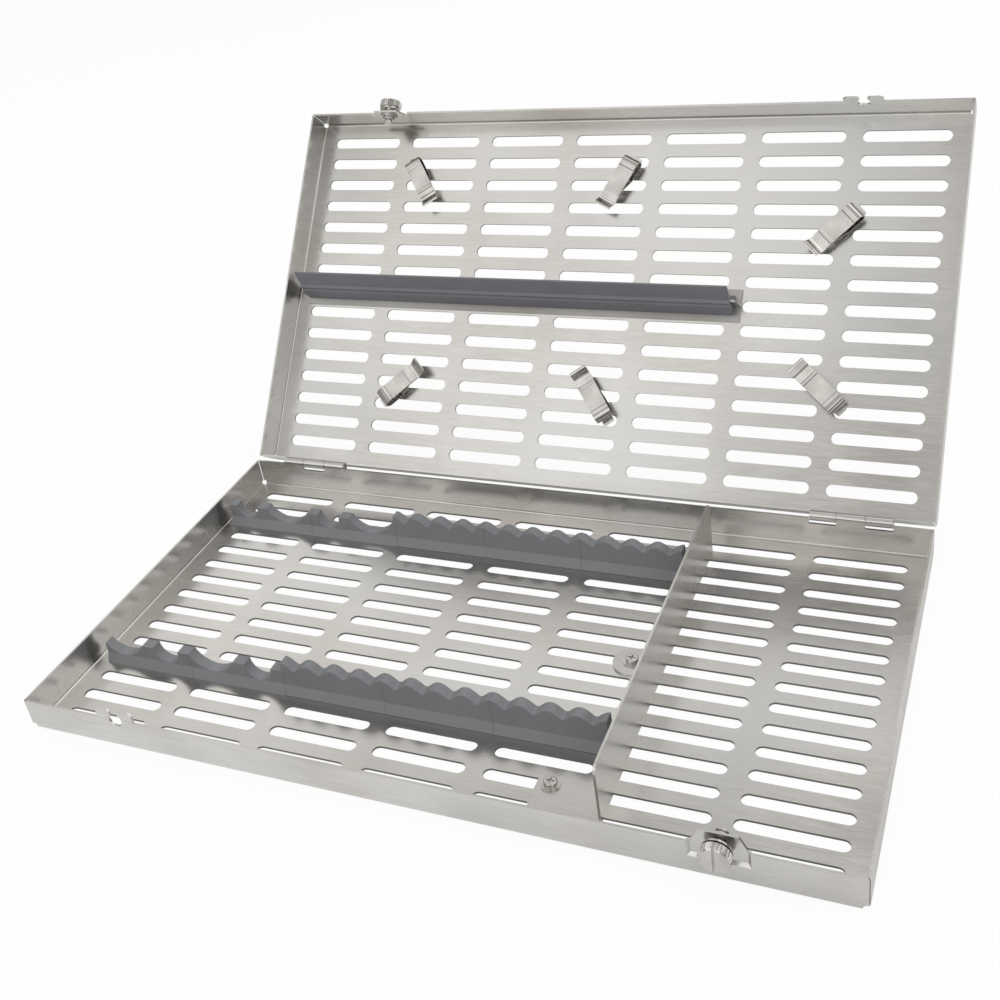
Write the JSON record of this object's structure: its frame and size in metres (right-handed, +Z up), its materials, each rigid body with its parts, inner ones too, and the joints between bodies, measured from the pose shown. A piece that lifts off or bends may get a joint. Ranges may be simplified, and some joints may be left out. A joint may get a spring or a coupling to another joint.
{
  "type": "dental instrument cassette",
  "caption": "Flat perforated steel case with a hinged lid, notched silicone racks, a divider and swivelling spring clips, which holds dental instruments for sterilising.",
  "frame": {"origin": "middle of the tray half's underside", "axes": "+Z up from the tray's floor, +Y from the latch side to the hinge side, +X along the hinge to the right seen from the latch side"},
  "size_m": [0.3616, 0.3516, 0.1799],
  "materials": {
    "pressed_steel": "satin, even fine grain with polished rims",
    "divider_steel": "satin with a bright cut edge",
    "rail_steel": "satin",
    "hinge_pin": "ground wire, dull ends",
    "fastener": "turned, half bright",
    "washer_steel": "stamped, satin",
    "latch_nut": "turned, half bright",
    "screw_ring": "turned",
    "thumb_screw": "turned and bright, knurled rim",
    "spring_steel": "bright rolled strip",
    "clip_foot": "stamped, satin",
    "insert_silicone": "matt silicone, mid grey",
    "blade_silicone": "matt silicone, dark grey"
  },
  "bodies": {
    "tray": {"tray_shell": "pressed_steel", "hinge_pin_left": "hinge_pin", "hinge_pin_right": "hinge_pin", "divider": "divider_steel", "divider_screws": "fastener", "divider_washers": "fastener", "divider_slot_nuts": "fastener", "front_insert_1": "insert_silicone", "front_insert_2": "insert_silicone", "front_insert_3": "insert_silicone", "front_insert_4": "insert_silicone", "front_insert_5": "insert_silicone", "rear_insert_1": "insert_silicone", "rear_insert_2": "insert_silicone", "rear_insert_3": "insert_silicone", "rear_insert_4": "insert_silicone", "rear_insert_5": "insert_silicone", "tray_latch_nut": "latch_nut"},
    "lid": {"lid_shell": "pressed_steel", "lid_rail": "rail_steel", "lid_blade": "blade_silicone", "clip_rivets": "fastener", "lid_latch_nut": "latch_nut"},
    "tray_washer": {"tray_screw_washer": "washer_steel"},
    "tray_screw": {"tray_thumb_screw": "thumb_screw", "tray_screw_ring": "screw_ring"},
    "lid_washer": {"lid_screw_washer": "washer_steel"},
    "lid_screw": {"lid_thumb_screw": "thumb_screw", "lid_screw_ring": "screw_ring"},
    "clip_1": {"clip_spring_1": "spring_steel", "clip_foot_1": "clip_foot"},
    "clip_2": {"clip_spring_2": "spring_steel", "clip_foot_2": "clip_foot"},
    "clip_3": {"clip_spring_3": "spring_steel", "clip_foot_3": "clip_foot"},
    "clip_4": {"clip_spring_4": "spring_steel", "clip_foot_4": "clip_foot"},
    "clip_5": {"clip_spring_5": "spring_steel", "clip_foot_5": "clip_foot"},
    "clip_6": {"clip_spring_6": "spring_steel", "clip_foot_6": "clip_foot"}
  },
  "joints": [
    {"name": "lid_hinge", "type": "hinge", "parent": "tray", "child": "lid", "pos_m": [0, 0.1024, 0.016], "axis": [1, 0, 0], "range_deg": [0, 130]},
    {"name": "tray_screw_travel", "type": "slide", "parent": "tray", "child": "tray_washer", "axis": [0, 1, 0], "range_m": [0, 0.0009]},
    {"name": "tray_screw_spin", "type": "hinge", "parent": "tray_washer", "child": "tray_screw", "pos_m": [0.13, -0.101, 0.016], "axis": [0, 1, 0], "range_deg": [0, 462.9]},
    {"name": "lid_screw_travel", "type": "slide", "parent": "lid", "child": "lid_washer", "axis": [0, -0.6428, -0.766], "range_m": [0, 0.0009]},
    {"name": "lid_screw_spin", "type": "hinge", "parent": "lid_washer", "child": "lid_screw", "pos_m": [-0.13, 0.23308, 0.17174], "axis": [0, -0.6428, -0.766], "range_deg": [0, 462.9]},
    {"name": "clip_1_swivel", "type": "hinge", "parent": "lid", "child": "clip_1", "pos_m": [-0.1126, 0.2244, 0.13806], "axis": [0, -0.766, 0.6428], "continuous": true},
    {"name": "clip_2_swivel", "type": "hinge", "parent": "lid", "child": "clip_2", "pos_m": [0.0106, 0.2244, 0.13806], "axis": [0, -0.766, 0.6428], "continuous": true},
    {"name": "clip_3_swivel", "type": "hinge", "parent": "lid", "child": "clip_3", "pos_m": [0.126, 0.20815, 0.11869], "axis": [0, -0.766, 0.6428], "continuous": true},
    {"name": "clip_4_swivel", "type": "hinge", "parent": "lid", "child": "clip_4", "pos_m": [-0.1086, 0.14315, 0.04123], "axis": [0, -0.766, 0.6428], "continuous": true},
    {"name": "clip_5_swivel", "type": "hinge", "parent": "lid", "child": "clip_5", "pos_m": [0.0118, 0.14315, 0.04123], "axis": [0, -0.766, 0.6428], "continuous": true},
    {"name": "clip_6_swivel", "type": "hinge", "parent": "lid", "child": "clip_6", "pos_m": [0.1262, 0.15127, 0.05091], "axis": [0, -0.766, 0.6428], "continuous": true}
  ],
  "couplings": [
    {"joint": "tray_screw_spin", "follows": "tray_screw_travel", "rad_per_m": 8976},
    {"joint": "lid_screw_spin", "follows": "lid_screw_travel", "rad_per_m": 8976}
  ]
}
